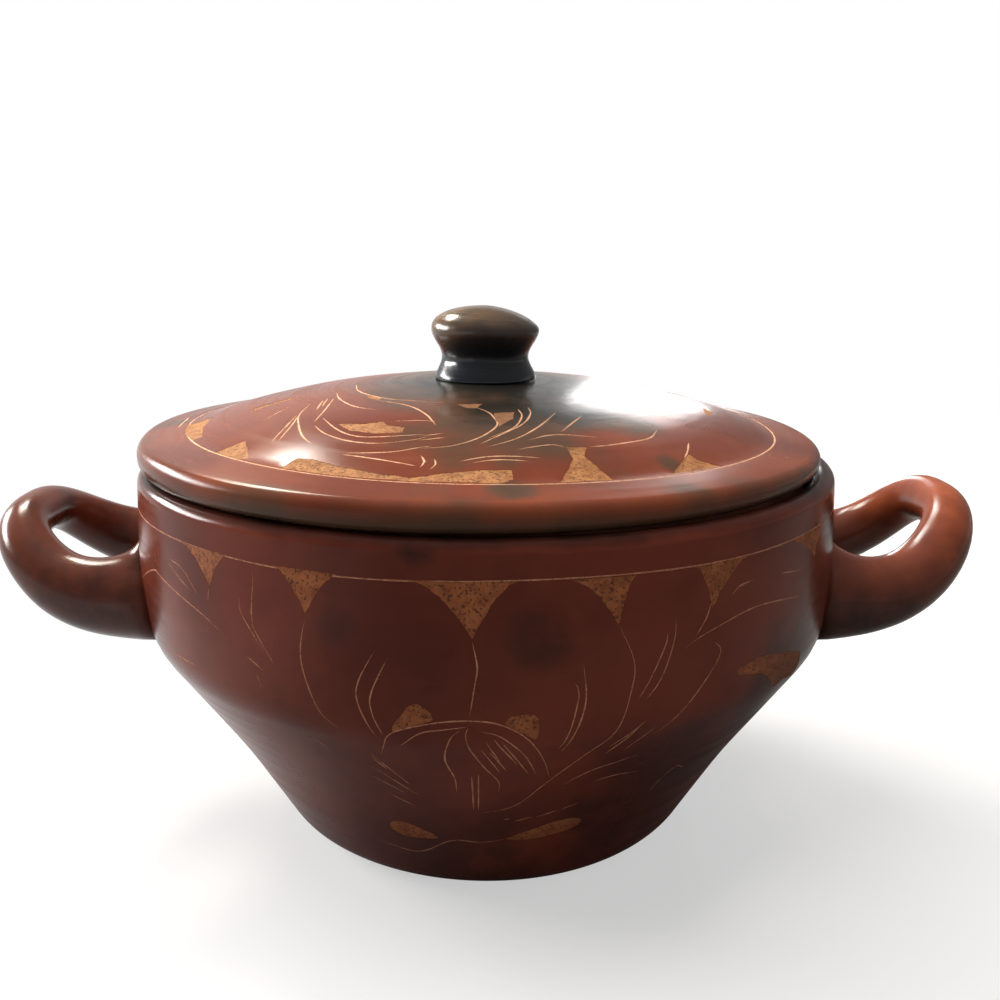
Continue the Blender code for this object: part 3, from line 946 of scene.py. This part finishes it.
class Finish:
    """A material or a world, with short calls to add and link its nodes."""

    def __init__(self, name, library=bpy.data.materials):
        self.owner = library.new(name)
        self.owner.use_nodes = True
        self.tree = self.owner.node_tree

    def node(self, kind, inputs, **settings):
        """Adds a node and returns its outputs."""
        node = self.tree.nodes.new(kind)
        for key, value in settings.items():
            setattr(node, key, value)
        for key, value in inputs.items():
            self.put(node.inputs[key], value)
        return node.outputs

    def put(self, socket, value):
        if isinstance(value, bpy.types.NodeSocket):
            self.tree.links.new(value, socket)
        else:
            socket.default_value = value

    def attribute(self, name):
        return self.node("ShaderNodeAttribute", {}, attribute_name=name)["Fac"]

    def place(self):
        return self.node("ShaderNodeTexCoord", {})["Object"]

    def noise(self, scale, detail, roughness=0.55, vector=None):
        vector = vector or self.place()
        inputs = {"Vector": vector, "Scale": scale, "Detail": detail, "Roughness": roughness}
        return self.node("ShaderNodeTexNoise", inputs)["Fac"]

    def streaks(self, across, along):
        """Noise drawn out round the turning axis, fine across the strokes."""
        inputs = {0: self.place(), 1: (along, along, along)}
        slow = self.node("ShaderNodeVectorMath", inputs, operation="MULTIPLY")
        x, y, _ = self.split(slow[0])
        level = self.math("MULTIPLY", self.attribute("grain"), across)
        vector = self.node("ShaderNodeCombineXYZ", {0: x, 1: y, 2: level})
        return self.noise(1, 4, 0.6, vector[0])

    def split(self, vector):
        return self.node("ShaderNodeSeparateXYZ", {0: vector})

    def math(self, operation, first, second):
        return self.node("ShaderNodeMath", {0: first, 1: second}, operation=operation)[0]

    def spread(self, value, low, high, to_low=0.0, to_high=1.0):
        inputs = {0: value, 1: low, 2: high, 3: to_low, 4: to_high}
        return self.node("ShaderNodeMapRange", inputs, interpolation_type="SMOOTHSTEP")[0]

    def mix(self, share, first, second):
        return self.node("ShaderNodeMix", {0: share, 6: first, 7: second}, data_type="RGBA")[2]

    def bump(self, height, distance, strength, under=None):
        inputs = {"Height": height, "Distance": distance, "Strength": strength}
        if under:
            inputs["Normal"] = under
        return self.node("ShaderNodeBump", inputs)[0]

    def surface(self, tone, roughness, shine=0.5, normal=None):
        inputs = self.tree.nodes["Principled BSDF"].inputs
        self.put(inputs["Base Color"], tone)
        self.put(inputs["Roughness"], roughness)
        self.put(inputs["Specular IOR Level"], shine)
        if normal:
            self.put(inputs["Normal"], normal)
        return self.owner


def colour(red, green, blue):
    """A linear colour from its sRGB values out of 255."""
    parts = []
    for value in (red, green, blue):
        share = value / 255
        parts.append(share / 12.92 if share <= 0.04045 else ((share + 0.055) / 1.055) ** 2.4)
    return (*parts, 1.0)


def slip(name, light, dark, ashen_and_shaded, smoked_and_shaded, shine=0.15):
    """Burnished slip: clouds, faint streaks of the stone, and ash and soot of the firing, which also carry
    painted shade.
    """
    finish = Finish(name)
    tone = finish.mix(finish.spread(finish.noise(18, 4), 0.32, 0.68), dark, light)
    streaks = finish.streaks(300, 7)
    tone = finish.mix(finish.spread(streaks, 0.5, 0.8, 0.0, 0.22), tone, light)
    specks = finish.spread(finish.noise(800, 2), 0.68, 0.74, 0.0, 0.35)
    tone = finish.mix(specks, tone, dark)
    drift = finish.spread(finish.noise(45, 4), 0.3, 0.7, -0.12, 0.12)
    # The darkening value holds soot of the firing and painted shade.
    smoke_and_shade = finish.math("ADD", finish.attribute("smoke_and_shade"), drift)
    tone = finish.mix(finish.spread(smoke_and_shade, 0.1, 0.5), tone, ashen_and_shaded)
    base = finish.mix(finish.spread(smoke_and_shade, 0.45, 0.9), tone, smoked_and_shaded)
    roughness = finish.spread(streaks, 0.3, 0.7, 0.17, 0.27)
    drawn = finish.bump(streaks, 0.0002, 0.05)
    lumps = finish.bump(finish.noise(45, 2), 0.0008, 0.16, drawn)
    return finish.surface(base, roughness, shine, lumps)


def scraped_clay(name, pale, deep, grit):
    """Bare clay under the scraped slip: speckled, matt and rough from the blade."""
    finish = Finish(name)
    mottle = finish.noise(260, 4, 0.7)
    tone = finish.mix(finish.spread(mottle, 0.35, 0.65), deep, pale)
    dots = finish.spread(finish.noise(1000, 2), 0.54, 0.64, 0.0, 0.85)
    # Soot of the firing and painted shade darken the bare clay towards its grit colour.
    sooty_and_shaded = finish.spread(finish.attribute("smoke_and_shade"), 0.1, 0.85, 0.0, 0.6)
    base = finish.mix(finish.math("MAXIMUM", dots, sooty_and_shaded), tone, grit)
    rough = finish.bump(finish.noise(900, 4, 0.7), 0.0003, 0.6)
    return finish.surface(base, 0.72, 0.3, rough)


def bare_clay(name, light, dark):
    """Smoothed clay without slip."""
    finish = Finish(name)
    tone = finish.mix(finish.spread(finish.noise(60, 4), 0.35, 0.65), dark, light)
    rough = finish.bump(finish.noise(500, 4), 0.0003, 0.4)
    return finish.surface(tone, 0.75, normal=rough)


def smoked_clay(name, black, warm_and_lit):
    """Burnished soot-black clay, browner towards the top, and browner again towards the left, which is
    painted light.
    """
    finish = Finish(name)
    x, _, z = finish.split(finish.place())
    top = finish.spread(z, KNOB_BASE + KNOB_NECK_HEIGHT, KNOB_BASE + KNOB_HEIGHT)
    # Painted light: the brown fades from the left towards the right.
    top = finish.math("MULTIPLY", top, finish.spread(x, -KNOB_RADIUS, KNOB_RADIUS / 2, 1.0, 0.42))
    clouds = finish.spread(finish.noise(60, 4), 0.3, 0.6, 0.4, 1.0)
    brown_and_lit = finish.math("MULTIPLY", top, clouds)
    tone = finish.mix(brown_and_lit, black, warm_and_lit)
    streaks = finish.streaks(600, 20)
    roughness = finish.spread(streaks, 0.3, 0.7, 0.17, 0.28)
    drawn = finish.bump(streaks, 0.0002, 0.2)
    lumps = finish.bump(finish.noise(110, 2), 0.0008, 0.25, drawn)
    return finish.surface(tone, roughness, normal=lumps)


# Stage


def background_rays(finish):
    """One for camera rays, and one for those and for reflections, which show the background too."""
    path = finish.node("ShaderNodeLightPath", {})
    camera = path["Is Camera Ray"]
    mirrored = finish.math("MAXIMUM", path["Is Glossy Ray"], path["Is Transmission Ray"])
    return camera, finish.math("MAXIMUM", camera, mirrored)


def add_white(finish, share):
    """Mixes in plain white, so that a background needs no more light."""
    glow = finish.node("ShaderNodeEmission", {"Color": WHITE, "Strength": 1.0})[0]
    plain = finish.tree.nodes["Principled BSDF"].outputs[0]
    mixed = finish.node("ShaderNodeMixShader", {0: share, 1: plain, 2: glow})
    finish.put(finish.tree.nodes["Material Output"].inputs["Surface"], mixed[0])


def make_sheet(name, near, far, material):
    """A flat sheet between two level edges at (y, z)."""
    half = STAGE_HALF_WIDTH
    mesh = bpy.data.meshes.new(name)
    mesh.from_pydata([(-half, *near), (half, *near), (half, *far), (-half, *far)], [], [(0, 1, 2, 3)])
    mesh.materials.append(material)
    add_object(name, mesh)


def make_backdrop():
    """A pale floor that fades to a white backdrop far behind."""
    ground = Finish("pale_floor")
    camera, seen = background_rays(ground)
    ground.surface(ground.mix(camera, STAGE_GREY, FLOOR_PALE), STAGE_ROUGHNESS, STAGE_SHINE)
    x, y, _ = ground.split(ground.place())
    away = ground.math("SUBTRACT", ground.math("MULTIPLY", y, 0.5), x)
    around = ground.math("MULTIPLY", camera, ground.spread(y, -0.3, 1.3, 0.5, 1.0))
    # Reflections see the floor glow white towards the left and back. This glow has no lamp behind it and
    # paints a pale reflection on the bowl's left.
    white_glow_in_reflections = ground.math("MULTIPLY", seen, ground.spread(away, -0.02, 0.25))
    add_white(ground, ground.math("MAXIMUM", around, white_glow_in_reflections))
    make_sheet("floor", (-STAGE_HALF_WIDTH, 0.0), (STAGE_DEPTH, 0.0), ground.owner)
    wall = Finish("white_backdrop")
    wall.surface(STAGE_GREY, STAGE_ROUGHNESS, STAGE_SHINE)
    camera, seen = background_rays(wall)
    x = wall.split(wall.place())["X"]
    dimmed = wall.math("MULTIPLY", seen, wall.spread(x, 0.9, 1.7, 0.65, 0.2))
    add_white(wall, wall.math("MAXIMUM", camera, dimmed))
    make_sheet("backdrop", (STAGE_DEPTH, 0.0), (STAGE_DEPTH, STAGE_HEIGHT), wall.owner)


def make_light(name, place, size, power, tint, shines=True):
    light = bpy.data.lights.new(name, "AREA")
    light.shape = "RECTANGLE"
    light.size, light.size_y = size
    light.energy = power
    light.color = tint
    lamp = add_object(name, light)
    lamp.location = place
    lamp.rotation_euler = (Vector(LAMP_TARGET) - Vector(place)).to_track_quat("-Z", "Y").to_euler()
    lamp.visible_camera = False
    lamp.visible_glossy = shines
    return lamp


def link_lamp(lamp, state, *pieces):
    """Keeps a lamp off some pieces, or on those alone."""
    group = bpy.data.collections.new(lamp.name + "_pieces")
    for piece in pieces:
        group.objects.link(piece)
    for member in group.collection_objects:
        member.light_linking.link_state = state
    lamp.light_linking.receiver_collection = group


def make_world():
    """Even light all round, white for the camera and with a white horizon in reflections."""
    sky = Finish("studio", bpy.data.worlds)
    camera, seen = background_rays(sky)
    z = sky.split(sky.node("ShaderNodeTexCoord", {})["Generated"])["Z"]
    horizon = sky.math("MULTIPLY", seen, sky.spread(z, 0.0, 0.3, 0.6, 0.0))
    white = sky.math("MAXIMUM", camera, horizon)
    shade = sky.tree.nodes["Background"].inputs
    sky.put(shade["Color"], sky.mix(camera, WORLD_TINT, WHITE))
    sky.put(shade["Strength"], sky.math("MAXIMUM", white, WORLD_STRENGTH))
    bpy.context.scene.world = sky.owner


def make_camera():
    camera = bpy.data.cameras.new("camera")
    camera.lens = CAMERA_LENS
    camera.shift_x = CAMERA_SHIFT
    view = add_object("camera", camera)
    view.location = CAMERA_PLACE
    view.rotation_euler = (math.radians(90.0 - CAMERA_TILT), 0.0, 0.0)
    bpy.context.scene.camera = view


def main():
    slip_red = slip(
        "burnished_red_slip", colour(118, 54, 38), colour(90, 38, 27), colour(77, 36, 27), colour(26, 20, 17)
    )
    # The lid has the bowl's slip, painted lighter here for the light that falls on it from above.
    lit_lid_red = slip(
        "burnished_lid_slip_lit", colour(130, 65, 41), colour(105, 49, 33), colour(84, 59, 44), colour(38, 35, 30)
    )
    # The handles have the bowl's slip, painted lighter here for the light on their tops, and painted shade
    # darkens them below.
    lit_handle_red = slip(
        "burnished_handle_slip_lit",
        colour(160, 82, 51), colour(116, 54, 36), colour(98, 49, 34), colour(26, 18, 16), shine=0.28,
    )
    tan = scraped_clay("scraped_tan_clay", colour(166, 98, 58), colour(136, 74, 42), colour(72, 40, 27))
    lid_tan = scraped_clay("scraped_lid_clay", colour(178, 122, 72), colour(146, 92, 50), colour(78, 48, 30))
    line = scraped_clay("scratched_clay", colour(206, 148, 116), colour(180, 122, 92), colour(140, 92, 68))
    lid_line = scraped_clay(
        "scratched_lid_clay", colour(238, 196, 160), colour(216, 166, 128), colour(176, 126, 94)
    )
    plain = bare_clay("bare_red_clay", colour(160, 92, 66), colour(128, 68, 48))
    black = smoked_clay("smoked_black_clay", colour(23, 29, 37), colour(124, 94, 62))

    make_bowl([slip_red, tan, line])
    right = make_handle("handle_right", HANDLE_RISE_RIGHT, ROOT_FLARE_LENGTH_RIGHT, 0.0, lit_handle_red)
    left = make_handle("handle_left", HANDLE_RISE_LEFT, ROOT_FLARE_LENGTH_LEFT, math.pi, lit_handle_red)
    make_lid([lit_lid_red, lid_tan, lid_line])
    make_flange(plain)
    knob = make_knob(black)

    make_backdrop()
    make_world()
    window = make_light("window_right", (0.39, 1.55, 0.51), (0.30, 0.50), 4.0, (1.0, 1.0, 1.0))
    link_lamp(window, "EXCLUDE", knob, left)
    make_light("window_left", (-1.35, 0.45, 0.55), (0.9, 0.30), 25.0, (1.0, 0.98, 0.96))
    make_light("lamp_high", (-0.75, 0.92, 1.30), (0.50, 0.28), 17.0, (1.0, 0.91, 0.76))
    make_light("lamp_left", (-0.68, 1.3, 1.26), (0.20, 0.14), 2.6, (1.0, 0.96, 0.88))
    glint = make_light("glint_right", (-0.21, 1.04, 1.36), (0.14, 0.60), 11.0, (1.0, 0.97, 0.90))
    link_lamp(glint, "INCLUDE", right)
    make_light("ceiling", (-0.3, 0.3, 1.9), (2.0, 2.0), 47.0, (1.0, 0.97, 0.93), shines=False)
    make_camera()
    bpy.context.scene.view_settings.view_transform = "Standard"


main()
